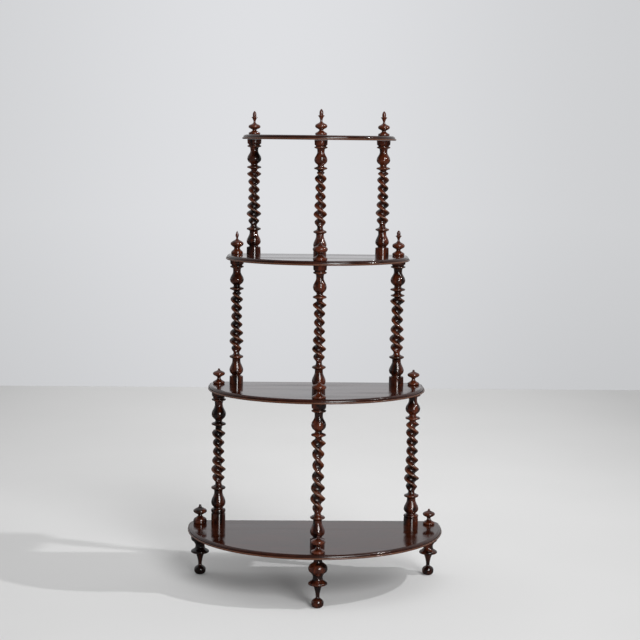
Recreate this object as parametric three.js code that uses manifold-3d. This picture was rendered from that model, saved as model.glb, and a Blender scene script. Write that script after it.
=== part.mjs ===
// A four-tier demi-lune etagere in polished mahogany. Four thin D-shaped boards grow from the
// top down. Nine barley-twist columns, three to a tier, hold them apart, and three turned feet
// carry the lowest. Each column and foot has a pin that passes up through the board on it and
// into a turned finial, and each column stands in a blind hole just inside the finial below.
// Millimetres, +Z up, front towards -Y, origin on the floor under the middle of the outline.
import * as THREE from 'three';
import { mergeVertices } from 'three/addons/utils/BufferGeometryUtils.js';
import Module from 'manifold-3d';

const wasm = await Module();
wasm.setup();

// Driving sizes shared by every board.
const bottomHalfWidth = 350;
const bottomFrontReach = 346; // from the line of the side columns forward to the lip
const boardThickness = 12;
const backOverhang = 34; // from the line of the side columns to the straight back edge
const returnDepth = 50; // from the back edge to the widest line, where the round front begins
const cornerRadius = 20; // rounding of the two back corners
const lipInset = 10; // how far the top arris stands in from the lip of the moulded edge
const frontInset = 26; // axis of a front column, in from the board's front

// Axes of the uprights under a board, in from its two ends.
const bottomSideInset = 33;
const lowerSideInset = 29;
const upperSideInset = 29.5;
const topSideInset = 32.5;

// Clear heights under the boards, from the floor up.
const footHeight = 131.4;
const lowerClearHeight = 379;
const middleClearHeight = 343.5;
const upperClearHeight = 311;

// Gaps between the ball of a finial and the column inside it, which set each board's step in.
const lowerSideGap = 11;
const lowerFrontGap = 36.8;
const middleSideGap = 10.6;
const middleFrontGap = 2.2;
const upperSideGap = 8;
const upperFrontGap = 2.6;

// A column from the top down: plain cap, turned head, twist, turned base, plain plinth. Those
// of the lower tiers are the stouter.
const lowerColumnRadius = 20.6;
const middleColumnRadius = 19.3;
const upperColumnRadius = 18.6;
const capLength = 15;
const headLength = 75;
const extraDiscLength = 12.7; // only one column has this disc, under its head
const halfTurnLength = 23.6; // length of half a turn of the twist
const baseLength = 66;
const plinthLength = 21;

// Finials: short ones on the two lower boards, tall ones with an acorn on the two upper ones.
const shortFinialHeight = 43;
const shortFinialRadius = 17;
const tallFinialHeight = 69;
const tallFinialRadius = 16;
const acornRadius = 7.4;

// Feet and joints.
const footRadius = 25;
const pinRadius = 5; // pin through a board into a finial
const pinReach = 7; // how far that pin enters the finial
const tenonRadius = 7; // tenon at the foot of a column
const tenonFloor = 4; // wood left in the board under a tenon
const fit = 0.3; // clearance wherever two pieces meet
const overrun = 2; // how far a drill passes beyond the face it leaves

// Facets of the round work.
const turnedSides = 10;
const finialSides = 8;
const frontFacets = 26;
const cornerFacets = 3;
const ringsPerTurn = 7;

// Each level is a board and what stands on it, from the floor up.
const levels = [
  {
    name: 'bottom',
    rise: footHeight,
    sideInset: bottomSideInset,
    tier: 'lower',
    columnRadius: lowerColumnRadius,
    sideGap: lowerSideGap,
    frontGap: lowerFrontGap,
  },
  {
    name: 'lower',
    rise: lowerClearHeight,
    sideInset: lowerSideInset,
    tier: 'middle',
    columnRadius: middleColumnRadius,
    sideGap: middleSideGap,
    frontGap: middleFrontGap,
  },
  {
    name: 'upper',
    rise: middleClearHeight,
    sideInset: upperSideInset,
    tier: 'upper',
    columnRadius: upperColumnRadius,
    sideGap: upperSideGap,
    frontGap: upperFrontGap,
    tallFinials: true,
  },
  { name: 'top', rise: upperClearHeight, sideInset: topSideInset, tallFinials: true },
];

// The turnings were made by eye and differ. Each size of a finial is a share of the one above,
// and the ball of a tall one stands at its own share of the height.
const finialShares = {
  bottom: {
    left: { height: 1.23, radius: 1.1, thickBase: true },
    front: { height: 1.047, radius: 1.1 },
    right: { height: 1, radius: 0.988 },
  },
  lower: {
    left: { height: 0.965, radius: 0.976 },
    front: { height: 1.047, radius: 1.118 },
    right: { height: 0.965, radius: 0.976 },
  },
  upper: {
    left: { height: 0.905, radius: 1.11, acorn: 0.66, ball: 0.44 },
    front: { height: 1.007, radius: 1.225, acorn: 0.9, ball: 0.42 },
    right: { height: 0.99, radius: 1.06, acorn: 1.15, ball: 0.39 },
  },
  top: {
    left: { height: 0.91, radius: 1.01, acorn: 1.1, ball: 0.34 },
    front: { height: 0.98, radius: 1, acorn: 1.15, ball: 0.35 },
    right: { height: 0.96, radius: 1, acorn: 1.18, ball: 0.35 },
  },
};

// The same for the columns of each tier. The first ridge is how far down the twist one faces
// sideways, as a share of that column's own half turn. Two plinths end in a turned ring.
const columnShares = {
  lower: {
    left: { cap: 1.87, head: 1.087, base: 1.098, plinth: 1.952, halfTurn: 1.051, ridge: 0.706 },
    front: { cap: 1.1, head: 1.013, base: 1.015, plinth: 1, halfTurn: 1.254, ridge: 0.44 },
    right: { cap: 0.87, head: 1.02, base: 0.985, plinth: 1.286, halfTurn: 1.085, ridge: 0.273 },
  },
  middle: {
    left: { cap: 1.2, head: 0.96, base: 0.992, plinth: 1, halfTurn: 0.966, ridge: 0.956 },
    front: { cap: 1.033, head: 1.02, base: 1, plinth: 1.048, halfTurn: 0.979, ridge: 0.498 },
    right: { cap: 1, head: 0.99, base: 1, plinth: 1.048, halfTurn: 1.11, ridge: 0.382, disc: 1 },
  },
  upper: {
    left: { cap: 1, head: 0.907, base: 0.909, plinth: 0.952, halfTurn: 0.915, ridge: 0.44 },
    front: { cap: 1.067, head: 0.867, base: 0.924, plinth: 1.048, halfTurn: 0.97, ridge: 0.874 },
    right: { cap: 1, head: 0.907, base: 0.909, plinth: 1, halfTurn: 0.936, ridge: 0.09 },
  },
};

const girthShares = {
  lower: { left: 0.955, front: 0.945, right: 0.985 },
  middle: { left: 0.975, front: 0.93, right: 1.05 },
  upper: { left: 1.03, front: 0.93, right: 1 },
};
const ringedPlinths = ['lower left', 'lower right'];

// Profiles, each row a place along the piece and a radius, both as shares of that piece's sizes.
const boardEdgeShares = [
  // height of the edge, and how much of lipInset it stands in
  [0, 0.12],
  [0.28, 0],
  [0.74, 0.3],
  [1, 1],
];
const headShares = [
  // from the cap down to the twist, and a share of the column's radius
  [0.02, 0.74],
  [0.065, 0.95],
  [0.11, 0.62],
  [0.24, 0.55],
  [0.4, 0.78],
  [0.545, 0.99],
  [0.65, 0.84],
  [0.76, 0.47],
  [0.88, 1],
  [0.925, 0.6],
];
const baseShares = [
  // from the twist down to the plinth, and a share of the column's radius
  [0.12, 0.58],
  [0.175, 0.99],
  [0.22, 0.64],
  [0.37, 0.56],
  [0.56, 0.8],
  [0.738, 1],
  [0.86, 0.86],
  [0.94, 0.66],
];
const plinthRingShares = [
  // up a ringed plinth, from its ring down to the groove under it
  [0.82, 1],
  [0.74, 0.86],
  [0.71, 0.97],
];
const extraDiscShares = [
  // down a second, smaller disc, and a share of the column's radius
  [0.28, 0.54],
  [0.62, 0.92],
];
const ridgeShares = [
  // from the top of the twist to its foot, and the ridge as a share of the column's radius
  [0, 0.43],
  [0.03, 0.78],
  [0.065, 1],
  [0.13, 0.9],
  [0.25, 0.81],
  [0.38, 0.79],
  [0.5, 0.83],
  [0.65, 0.94],
  [0.8, 1.02],
  [0.9, 0.88],
  [0.96, 0.64],
  [1, 0.43],
];
const rootShares = [
  // the same for the hollow between the ridges
  [0, 0.43],
  [0.06, 0.4],
  [0.3, 0.36],
  [0.5, 0.36],
  [0.75, 0.45],
  [0.94, 0.43],
  [1, 0.43],
];
const strandShare = 0.8; // how far the two strands of the twist swell beside the hollow
const capTaperShare = 0.95; // foot of the cap against its head
const tallBodyShares = [
  // up a tall finial to its waist, and a share of the ball's radius
  [0, 0.9],
  [0.06, 0.97],
  [0.13, 0.55],
  [0.18, 0.33],
  [0.25, 0.52],
  [0.3, 0.9],
  [0.36, 1],
  [0.42, 0.82],
  [0.49, 0.26],
];
const tallBallShare = 0.36; // where that table has its ball
const waistShare = 0.58; // where the part with the acorn begins
const acornShares = [
  // up its acorn, and a share of the acorn's radius
  [0.61, 0.36],
  [0.69, 0.6],
  [0.75, 1],
  [0.79, 0.66],
  [0.93, 0.42],
];
const shortFinialShares = [
  // up a short finial, and a share of the ball's radius
  [0, 0.9],
  [0.12, 0.97],
  [0.26, 0.55],
  [0.38, 0.29],
  [0.5, 0.5],
  [0.58, 0.9],
  [0.67, 1],
  [0.77, 0.82],
  [0.86, 0.26],
];
const thickFinialShares = [
  // the same where the base is thicker
  [0, 0.93],
  [0.18, 0.98],
  [0.3, 0.7],
  [0.425, 0.3],
  [0.525, 0.69],
  [0.58, 0.91],
  [0.65, 1],
  [0.75, 0.82],
  [0.86, 0.26],
];
const footShares = [
  // up a foot, and a share of footRadius
  [0, 0.34],
  [0.035, 0.54],
  [0.085, 0.63],
  [0.14, 0.54],
  [0.19, 0.22],
  [0.27, 0.22],
  [0.4, 0.38],
  [0.455, 0.84],
  [0.49, 1],
  [0.545, 0.6],
  [0.61, 0.51],
  [0.68, 0.7],
  [0.735, 0.95],
  [0.78, 1],
  [0.83, 0.92],
  [0.93, 0.44],
];
const footShoulderShare = 0.48;

// French-polished mahogany: the boards show least colour, the finials most.
const boardWood = new THREE.MeshStandardMaterial({ color: 0x4a2318, roughness: 0.22, metalness: 0 });
const columnWood = new THREE.MeshStandardMaterial({ color: 0x3a1a10, roughness: 0.28, metalness: 0 });
const finialWood = new THREE.MeshStandardMaterial({ color: 0x5c2814, roughness: 0.26, metalness: 0 });
const footWood = new THREE.MeshStandardMaterial({ color: 0x351910, roughness: 0.3, metalness: 0 });

const tenonDepth = boardThickness - tenonFloor - fit;
const places = ['left', 'front', 'right'];

// The real sizes of one finial, and of one column.
function finialSizes(level, place) {
  const shares = finialShares[level.name][place];
  return {
    height: shares.height * (level.tallFinials ? tallFinialHeight : shortFinialHeight),
    radius: shares.radius * (level.tallFinials ? tallFinialRadius : shortFinialRadius),
    acorn: level.tallFinials ? shares.acorn * acornRadius : 0,
    lift: level.tallFinials ? shares.ball / tallBallShare : 1,
    thickBase: shares.thickBase ?? false,
  };
}

function columnSizes(level, place) {
  const shares = columnShares[level.tier][place];
  const halfTurn = shares.halfTurn * halfTurnLength;
  return {
    radius: girthShares[level.tier][place] * level.columnRadius,
    cap: shares.cap * capLength,
    head: shares.head * headLength,
    extraDisc: (shares.disc ?? 0) * extraDiscLength,
    halfTurn,
    firstRidge: shares.ridge * halfTurn,
    base: shares.base * baseLength,
    plinth: shares.plinth * plinthLength,
    ringed: ringedPlinths.includes(`${level.tier} ${place}`),
  };
}

// Each board above the bottom one steps in by what the finial and the column inside it take up.
levels[0].halfWidth = bottomHalfWidth;
levels[0].frontReach = bottomFrontReach;
for (let number = 1; number < levels.length; number += 1) {
  const below = levels[number - 1];
  const balls = places.map((place) => finialSizes(below, place).radius);
  const columns = places.map((place) => columnSizes(below, place).radius);
  const sideStep = Math.max(balls[0], balls[2]) + below.sideGap + Math.max(columns[0], columns[2]);
  const sideAxis = below.halfWidth - below.sideInset - sideStep;
  levels[number].halfWidth = sideAxis + levels[number].sideInset;
  levels[number].frontReach = below.frontReach - balls[1] - below.frontGap - columns[1];
}

// One closed solid through a stack of rings with as many points each, listed from the lowest up.
function stackSolid(rings) {
  const sides = rings[0].length;
  const positions = rings.flat(2);
  const index = [];
  for (let level = 0; level < rings.length - 1; level += 1) {
    for (let side = 0; side < sides; side += 1) {
      const next = (side + 1) % sides;
      const low = level * sides;
      const high = low + sides;
      index.push(low + side, low + next, high + next);
      index.push(low + side, high + next, high + side);
    }
  }
  const last = (rings.length - 1) * sides;
  for (let side = 1; side < sides - 1; side += 1) {
    index.push(0, side + 1, side);
    index.push(last, last + side, last + side + 1);
  }
  const geometry = new THREE.BufferGeometry();
  geometry.setAttribute('position', new THREE.Float32BufferAttribute(positions, 3));
  geometry.setIndex(index);
  geometry.computeVertexNormals();
  return geometry;
}

// A flat ring of points at a height: an oval with its long radius turned to an angle, which
// swells on both sides of its hollows into two strands.
function strandRing(height, ridge, root, swell, angle) {
  const cosine = Math.cos(angle);
  const sine = Math.sin(angle);
  const points = [];
  for (let side = 0; side < turnedSides; side += 1) {
    const turn = (side * 2 * Math.PI) / turnedSides;
    const x = ridge * Math.cos(turn);
    const y = root * (1 + swell * Math.cos(turn) ** 2) * Math.sin(turn);
    points.push([x * cosine - y * sine, x * sine + y * cosine, height]);
  }
  return points;
}

function roundRing(height, radius, angle) {
  return strandRing(height, radius, radius, 0, angle);
}

// A smooth curve through a table of shares.
function curveThrough(shares) {
  const along = shares.map((row) => row[0]);
  const values = shares.map((row) => row[1]);
  const curve = new THREE.CubicInterpolant(along, values, 1);
  return (share) => curve.evaluate(share)[0];
}

const ridgeAt = curveThrough(ridgeShares);
const rootAt = curveThrough(rootShares);

// A turned column with its double left-handed twist. Its seat on the lower board is at zero, and
// the stations are worked from its shoulder under the upper board down to that seat.
function columnSolid(column, clearHeight) {
  const shoulder = clearHeight - 2 * fit;
  const headTop = shoulder - column.cap;
  const discTop = headTop - column.head;
  const twistTop = discTop - column.extraDisc;
  const twistFoot = column.plinth + column.base;
  const twistLength = twistTop - twistFoot;
  const angleAt = (down) => ((down - column.firstRidge) / column.halfTurn) * Math.PI;
  const startAngle = angleAt(0);
  const endAngle = angleAt(twistLength);
  const turned = (height, share, angle) => roundRing(height, share * column.radius, angle);

  const rings = [
    roundRing(shoulder + fit + boardThickness + pinReach, pinRadius, startAngle),
    roundRing(shoulder, pinRadius, startAngle),
    turned(shoulder, 1, startAngle),
    turned(headTop, capTaperShare, startAngle),
  ];
  for (const [along, radius] of headShares) {
    rings.push(turned(headTop - along * column.head, radius, startAngle));
  }
  if (column.extraDisc > 0) {
    for (const [along, radius] of extraDiscShares) {
      rings.push(turned(discTop - along * column.extraDisc, radius, startAngle));
    }
  }
  const turns = twistLength / (2 * column.halfTurn);
  const steps = Math.round(turns * ringsPerTurn);
  for (let step = 0; step <= steps; step += 1) {
    const share = step / steps;
    const down = share * twistLength;
    const ridge = ridgeAt(share) * column.radius;
    const root = rootAt(share) * column.radius;
    // The strands grow out of the round neck at either end as the ridges rise above the hollows.
    const swell = strandShare * (1 - root / ridge);
    rings.push(strandRing(twistTop - down, ridge, root, swell, angleAt(down)));
  }
  for (const [along, radius] of baseShares) {
    rings.push(turned(twistFoot - along * column.base, radius, endAngle));
  }
  rings.push(turned(column.plinth, capTaperShare, endAngle));
  for (const [up, radius] of column.ringed ? plinthRingShares : []) {
    rings.push(turned(up * column.plinth, radius, endAngle));
  }
  rings.push(turned(0, 1, endAngle));
  rings.push(roundRing(0, tenonRadius, endAngle));
  rings.push(roundRing(-fit - tenonDepth, tenonRadius, endAngle));
  return stackSolid(rings.reverse());
}

// A solid of revolution about Z from rows of radius and height, listed from the lowest up.
function lathe(rows, sides) {
  const points = rows.map(([radius, height]) => new THREE.Vector2(radius, height));
  return new THREE.LatheGeometry(points, sides).rotateX(Math.PI / 2);
}

// A finial with the blind bore in its base that goes over the pin below. Its lift draws the body
// out, and the acorn takes what is left of the height.
function finialSolid(finial) {
  const { height, radius, acorn, lift, thickBase } = finial;
  const boreRadius = (pinRadius + fit) / Math.cos(Math.PI / turnedSides);
  const boreDepth = pinReach;
  const rows = [
    [0, boreDepth],
    [boreRadius, boreDepth],
    [boreRadius, 0],
  ];
  const shortShares = thickBase ? thickFinialShares : shortFinialShares;
  const bodyShares = acorn > 0 ? tallBodyShares : shortShares;
  for (const [up, across] of bodyShares) {
    rows.push([across * radius, up * lift * height]);
  }
  if (acorn > 0) {
    const waist = waistShare * lift;
    const stretch = (1 - waist) / (1 - waistShare);
    for (const [up, across] of acornShares) {
      rows.push([across * acorn, (waist + (up - waistShare) * stretch) * height]);
    }
  }
  rows.push([0, height]);
  return lathe(rows, finialSides);
}

// A foot: ball on the floor, spike, saucer and squashed ball, then its shoulder and pin.
function footSolid() {
  const shoulder = footHeight - fit;
  const pinTop = footHeight + boardThickness + pinReach;
  const rows = [[0, 0]];
  for (const [up, across] of footShares) {
    rows.push([across * footRadius, up * shoulder]);
  }
  rows.push([footShoulderShare * footRadius, shoulder]);
  rows.push([pinRadius, shoulder]);
  rows.push([pinRadius, pinTop]);
  rows.push([0, pinTop]);
  return lathe(rows, turnedSides);
}

// One level line round a board, drawn in by an inset on its ends and front but not at its back:
// two rounded back corners, straight returns, and half an ellipse for the front.
function boardOutline(level, height, inset) {
  const { halfWidth, frontReach } = level;
  const across = halfWidth - inset;
  const widestLine = backOverhang - returnDepth;
  const frontAxis = frontReach + widestLine - inset;
  const cornerX = across - cornerRadius;
  const cornerY = backOverhang - cornerRadius;
  const points = [];
  for (const side of [1, -1]) {
    for (let step = 0; step <= cornerFacets; step += 1) {
      const share = step / cornerFacets;
      const angle = ((side > 0 ? share : 1 - share) * Math.PI) / 2;
      const x = side * (cornerX + cornerRadius * Math.cos(angle));
      points.push([x, cornerY + cornerRadius * Math.sin(angle), height]);
    }
  }
  for (let step = 0; step <= frontFacets; step += 1) {
    const angle = Math.PI + (Math.PI * step) / frontFacets;
    const x = across * Math.cos(angle);
    points.push([x, widestLine + frontAxis * Math.sin(angle), height]);
  }
  return points;
}

// Where the uprights under a board meet it, and so its finials: two ends and the front.
function postPlaces(level) {
  return {
    left: [-(level.halfWidth - level.sideInset), 0],
    front: [0, -(level.frontReach - frontInset)],
    right: [level.halfWidth - level.sideInset, 0],
  };
}

function toManifold(geometry) {
  const bare = geometry.clone();
  bare.deleteAttribute('normal');
  bare.deleteAttribute('uv');
  const merged = mergeVertices(bare);
  return new wasm.Manifold(
    new wasm.Mesh({
      numProp: 3,
      vertProperties: new Float32Array(merged.attributes.position.array),
      triVerts: new Uint32Array(merged.index.array),
    }),
  );
}

function fromManifold(solid) {
  const mesh = solid.getMesh();
  const geometry = new THREE.BufferGeometry();
  geometry.setAttribute('position', new THREE.BufferAttribute(mesh.vertProperties, 3));
  geometry.setIndex(new THREE.BufferAttribute(mesh.triVerts, 1));
  geometry.computeVertexNormals();
  return geometry;
}

// A drill with flat sides that clear a round pin with as many facets, however it is turned.
function drill(radius, bottom, top, [x, y]) {
  const clearRadius = (radius + fit) / Math.cos(Math.PI / turnedSides);
  const length = top - bottom;
  const geometry = new THREE.CylinderGeometry(clearRadius, clearRadius, length, turnedSides);
  return geometry.rotateX(Math.PI / 2).translate(x, y, bottom + length / 2);
}

// A board with its moulded edge, drilled through for the pins below and part way for the tenons
// of the columns above.
function boardSolid(level, levelAbove) {
  const rings = boardEdgeShares.map(([up, inward]) =>
    boardOutline(level, up * boardThickness, inward * lipInset),
  );
  let solid = toManifold(stackSolid(rings));
  for (const place of Object.values(postPlaces(level))) {
    const hole = drill(pinRadius, -overrun, boardThickness + overrun, place);
    solid = solid.subtract(toManifold(hole));
  }
  if (levelAbove) {
    for (const place of Object.values(postPlaces(levelAbove))) {
      const hole = drill(tenonRadius, tenonFloor, boardThickness + overrun, place);
      solid = solid.subtract(toManifold(hole));
    }
  }
  return fromManifold(solid);
}

function addPiece(parent, name, geometry, material, [x, y], height) {
  const piece = new THREE.Mesh(geometry, material);
  piece.name = name;
  piece.position.set(x, y, height);
  parent.add(piece);
}

// The line of the side columns stands so that the bottom board is centred front to back.
const etagere = new THREE.Group();
etagere.position.y = (levels[0].frontReach - backOverhang) / 2;

const footPlaces = postPlaces(levels[0]);
for (const place of places) {
  addPiece(etagere, `foot_${place}`, footSolid(), footWood, footPlaces[place], 0);
}

let underside = 0;
levels.forEach((level, number) => {
  const levelAbove = levels[number + 1];
  const group = new THREE.Group();
  underside += level.rise;
  group.position.z = underside;
  etagere.add(group);
  underside += boardThickness;

  addPiece(group, `${level.name}_shelf`, boardSolid(level, levelAbove), boardWood, [0, 0], 0);
  const seat = boardThickness + fit;
  const finialPlaces = postPlaces(level);
  for (const place of places) {
    const finial = finialSolid(finialSizes(level, place));
    addPiece(group, `${level.name}_finial_${place}`, finial, finialWood, finialPlaces[place], seat);
  }
  if (levelAbove) {
    const columnPlaces = postPlaces(levelAbove);
    for (const place of places) {
      const column = columnSolid(columnSizes(level, place), levelAbove.rise);
      const name = `${level.tier}_column_${place}`;
      addPiece(group, name, column, columnWood, columnPlaces[place], seat);
    }
  }
});

export default etagere;
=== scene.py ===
"""Looks of a four-tier demi-lune etagere in French-polished mahogany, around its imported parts.

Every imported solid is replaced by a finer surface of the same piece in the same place: boards with
a moulded edge, columns with a double left-handed barley twist, turned finials and turned feet.
"""
import math

import bpy
import numpy as np
from bpy.props import FloatProperty, FloatVectorProperty, IntProperty, PointerProperty
from bpy.types import NodeSocket, Operator, Panel, PropertyGroup
from mathutils import Matrix, Vector


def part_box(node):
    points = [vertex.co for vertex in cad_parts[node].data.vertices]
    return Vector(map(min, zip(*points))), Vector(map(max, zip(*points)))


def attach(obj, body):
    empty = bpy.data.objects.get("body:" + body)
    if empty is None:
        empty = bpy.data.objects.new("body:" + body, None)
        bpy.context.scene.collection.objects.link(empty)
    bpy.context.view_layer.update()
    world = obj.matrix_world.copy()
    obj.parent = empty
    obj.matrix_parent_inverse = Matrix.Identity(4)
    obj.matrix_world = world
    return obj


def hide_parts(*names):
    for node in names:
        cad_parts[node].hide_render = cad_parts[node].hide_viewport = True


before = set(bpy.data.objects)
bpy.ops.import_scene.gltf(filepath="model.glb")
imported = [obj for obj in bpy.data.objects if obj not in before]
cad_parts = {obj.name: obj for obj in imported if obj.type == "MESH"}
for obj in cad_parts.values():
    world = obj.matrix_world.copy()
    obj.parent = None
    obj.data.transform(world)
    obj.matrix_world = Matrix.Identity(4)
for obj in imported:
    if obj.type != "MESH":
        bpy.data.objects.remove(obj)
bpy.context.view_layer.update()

bl_info = {
    "name": "Mahogany Etagere",
    "version": (1, 0, 0),
    "blender": (4, 5, 0),
    "location": "3D View > Sidebar > Etagere",
    "description": "Builds a demi-lune etagere with barley-twist columns",
    "category": "Add Mesh",
}

BODY = "root"
PLACES = ("left", "front", "right")
SHELVES = ("bottom", "lower", "upper", "top")
TIERS = ("lower", "middle", "upper")
FULL_TURN = 2 * math.pi
QUARTER_TURN = 0.5 * math.pi
MM = 0.001


def linear_colour(code):
    """Linear RGBA of an sRGB hex code: c / 12.92 below 0.04045, else ((c + 0.055) / 1.055) ** 2.4."""
    parts = np.array([int(code[i : i + 2], 16) for i in (1, 3, 5)]) / 255
    low = parts / 12.92
    high = ((parts + 0.055) / 1.055) ** 2.4
    return (*np.where(parts < 0.04045, low, high).tolist(), 1.0)


# Sizes and colours that a user would change


class EtagereBoardSettings(PropertyGroup):
    corner_radius: FloatProperty(
        name="Corner radius", description="Rounding of the two back corners",
        default=0.020, unit="LENGTH",
    )
    return_depth: FloatProperty(
        name="Return depth", description="From the back edge to the widest line",
        default=0.050, unit="LENGTH",
    )
    moulding_width: FloatProperty(
        name="Moulding width", description="From the lip in to the top arris",
        default=0.010, unit="LENGTH",
    )
    outline_steps: IntProperty(
        name="Outline steps", description="Points round the front of a board", default=220, min=24
    )


class EtagereTurningSettings(PropertyGroup):
    girth: FloatProperty(
        name="Girth", description="Radius of the columns against their listed one",
        default=1.0, subtype="FACTOR",
    )
    foot_radius: FloatProperty(
        name="Foot radius", description="Radius of a foot at its ball", default=0.025, unit="LENGTH"
    )
    fit: FloatProperty(
        name="Fit", description="Clearance between a board and what meets it",
        default=0.0003, unit="LENGTH",
    )
    row_spacing: FloatProperty(
        name="Row spacing", description="Height between rows of a turned surface",
        default=0.0007, unit="LENGTH",
    )
    column_sides: IntProperty(
        name="Column sides", description="Points round a column or a foot", default=56, min=12
    )
    finial_sides: IntProperty(
        name="Finial sides", description="Points round a finial", default=48, min=12
    )


class EtagerePolishSettings(PropertyGroup):
    deep: FloatVectorProperty(
        name="Deep brown", description="Darkest figure of the mahogany",
        subtype="COLOR", size=4, default=linear_colour("#100503"),
    )
    rich: FloatVectorProperty(
        name="Rich red", description="Brightest figure of the mahogany",
        subtype="COLOR", size=4, default=linear_colour("#502312"),
    )
    # Amber is also painted highlight where it lightens the crests and the lip of a board.
    amber: FloatVectorProperty(
        name="Amber", description="Wood that shows on the rubbed crests",
        subtype="COLOR", size=4, default=linear_colour("#94684F"),
    )
    # This dark colour is also painted shade where it darkens the hollows, a board's groove and its
    # thumb moulding.
    soot_and_shade: FloatVectorProperty(
        name="Old polish", description="Dark polish in the hollows and the pores",
        subtype="COLOR", size=4, default=linear_colour("#0B0504"),
    )


class EtagereStageSettings(PropertyGroup):
    floor_colour: FloatVectorProperty(
        name="Floor", description="Pale studio floor",
        subtype="COLOR", size=4, default=linear_colour("#E7E7E7"),
    )
    floor_size: FloatProperty(
        name="Floor size", description="Side of the square floor", default=7.0, unit="LENGTH"
    )
    key_share: FloatProperty(
        name="Key", description="Share of the soft front light", default=0.26, subtype="FACTOR"
    )
    side_share: FloatProperty(
        name="Side", description="Share of the small side lamp", default=0.27, subtype="FACTOR"
    )
    front_power: FloatProperty(
        name="Front power", description="Power of the low softbox", default=122.0, unit="POWER"
    )
    overhead: FloatProperty(
        name="Overhead", description="Light from the ceiling", default=0.58, subtype="FACTOR"
    )
    walls: FloatProperty(
        name="Walls", description="Light that the rear wall sends back", default=0.95, subtype="FACTOR"
    )


# Curves and surfaces

# A point's relief sets it against the rows up to this far above and below it, runs from 0 to 1 over
# this share of the piece's radius, and is a half on even turning.
RELIEF_REACH = 7 * MM
RELIEF_SHARE = 0.55
EVEN_RELIEF = 0.5
# Faces that meet at more than this stay a crisp edge.
SHARP_ANGLE = math.radians(50)


def smooth_curve(knots, values, at):
    """Monotone cubic through (knot, value): the slope at a knot is the harmonic mean of the slopes of
    its two spans, or zero where they differ in sign, so the curve never passes beyond its points."""
    spans = np.diff(knots)
    slopes = np.diff(values) / spans
    before, after = slopes[:-1], slopes[1:]
    product = before * after
    total = np.where(product > 0, before + after, 1.0)
    inner = np.where(product > 0, 2 * product / total, 0.0)
    tangents = np.concatenate([slopes[:1], inner, slopes[-1:]])
    i = np.clip(np.searchsorted(knots, at, side="right") - 1, 0, len(spans) - 1)
    u = (at - knots[i]) / spans[i]
    start = (1 + 2 * u) * (1 - u) ** 2 * values[i] + u * (1 - u) ** 2 * spans[i] * tangents[i]
    end = u**2 * (3 - 2 * u) * values[i + 1] + u**2 * (u - 1) * spans[i] * tangents[i + 1]
    return start + end


def turned_rows(shares, start, length, radius, spacing):
    """Heights and radii of a turned profile. Its points are shares of a length and a radius, and both
    coordinates run as monotone cubics over the chord length, resampled at an even spacing."""
    points = np.array(shares, float) * (length, radius) + (start, 0.0)
    chords = np.hypot(*np.diff(points, axis=0).T)
    knots = np.concatenate([[0.0], np.cumsum(chords)])
    count = max(2, int(math.ceil(knots[-1] / spacing)))
    at = np.linspace(0.0, knots[-1], count + 1)
    return smooth_curve(knots, points[:, 0], at), smooth_curve(knots, points[:, 1], at)


def strand_grid(heights, ridges, roots, swells, angles, sides, centre):
    """Rows of closed rings. With t round the ring, a point is (ridge cos t, root (1 + swell cos^2 t)
    sin t), turned about the axis by the row's angle and lifted to the row's height. Ridge equal to
    root with no swell is a circle."""
    t = np.arange(sides) * FULL_TURN / sides
    x = ridges[:, None] * np.cos(t)
    y = roots[:, None] * (1 + swells[:, None] * np.cos(t) ** 2) * np.sin(t)
    cosine, sine = np.cos(angles)[:, None], np.sin(angles)[:, None]
    z = np.broadcast_to(heights[:, None], x.shape)
    grid = np.stack([x * cosine - y * sine, x * sine + y * cosine, z], axis=2)
    return grid + np.array([centre[0], centre[1], 0.0])


def round_grid(heights, radii, centre, sides):
    """Rows of circles, each with the radius of its row."""
    flat = np.zeros_like(heights)
    return strand_grid(heights, radii, radii, flat, flat, sides, centre)


def relief_of(grid, centre, radius, spacing):
    """How far each point stands out from the turning around it, 0 in a hollow to 1 on a crest: half,
    plus its distance from the axis less the mean of the rows within reach, over the relief's share
    of the piece's radius."""
    radii = np.hypot(grid[..., 0] - centre[0], grid[..., 1] - centre[1])
    mean = radii.mean(axis=1)
    half = max(1, int(RELIEF_REACH / spacing))
    padded = np.pad(mean, half, mode="edge")
    window = np.ones(2 * half + 1) / (2 * half + 1)
    around = np.convolve(padded, window, mode="valid")
    return np.clip(EVEN_RELIEF + (radii - around[:, None]) / (RELIEF_SHARE * radius), 0.0, 1.0)


def axis_of(node):
    """Where the middle of a node's box stands on the floor, in x and y."""
    low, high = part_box(node)
    return ((low.x + high.x) / 2, (low.y + high.y) / 2)


def add_object(name, data):
    """Puts a mesh, lamp or camera into the scene."""
    holder = bpy.data.objects.new(name, data)
    bpy.context.scene.collection.objects.link(holder)
    return holder


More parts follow.
